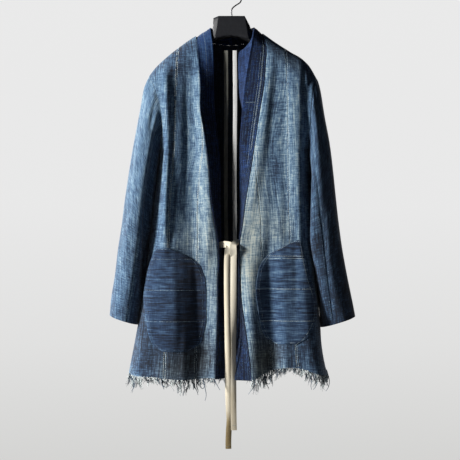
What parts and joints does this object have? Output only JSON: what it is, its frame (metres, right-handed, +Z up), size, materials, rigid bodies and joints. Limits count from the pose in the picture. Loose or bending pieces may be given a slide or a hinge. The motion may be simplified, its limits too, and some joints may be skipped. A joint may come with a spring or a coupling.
{
  "type": "haori on hanger",
  "caption": "Long open haori-style coat in faded indigo cloth with a dark collar band, rounded patch pockets, a tape tie and a raw fringed hem, hanging on its hanger.",
  "frame": {"origin": "inside top of the hanger's hook, where a rail carries it", "axes": "+Z up, the open front faces -Y, +X to the right as seen from the front"},
  "size_m": [0.637, 0.1733, 1.1894],
  "materials": {
    "faded_indigo_cloth": "faded slub weave",
    "dark_indigo_cloth": "slub weave with rows of topstitching",
    "pale_binding": "plain cotton",
    "cotton_tape": "plain woven tape",
    "hanger_black": "matte black",
    "hook_wire": "dark satin wire"
  },
  "bodies": {
    "root": {"hanger_body": "hanger_black", "hanger_hook": "hook_wire", "front_left_centre": "faded_indigo_cloth", "front_left_middle": "faded_indigo_cloth", "front_left_side": "faded_indigo_cloth", "back_left_centre": "faded_indigo_cloth", "back_left_side": "faded_indigo_cloth", "sleeve_left_upper": "faded_indigo_cloth", "sleeve_left_under": "faded_indigo_cloth", "fringe_front_left": "faded_indigo_cloth", "fringe_back_left": "faded_indigo_cloth", "collar_left": "dark_indigo_cloth", "pocket_left": "dark_indigo_cloth", "binding_left": "pale_binding", "tie_tape_left": "cotton_tape", "front_right_centre": "faded_indigo_cloth", "front_right_middle": "faded_indigo_cloth", "front_right_side": "faded_indigo_cloth", "back_right_centre": "faded_indigo_cloth", "back_right_side": "faded_indigo_cloth", "sleeve_right_upper": "faded_indigo_cloth", "sleeve_right_under": "faded_indigo_cloth", "fringe_front_right": "faded_indigo_cloth", "fringe_back_right": "faded_indigo_cloth", "collar_right": "dark_indigo_cloth", "pocket_right": "dark_indigo_cloth", "binding_right": "pale_binding", "tie_tape_right": "cotton_tape", "tie_knot": "cotton_tape"}
  },
  "joints": []
}
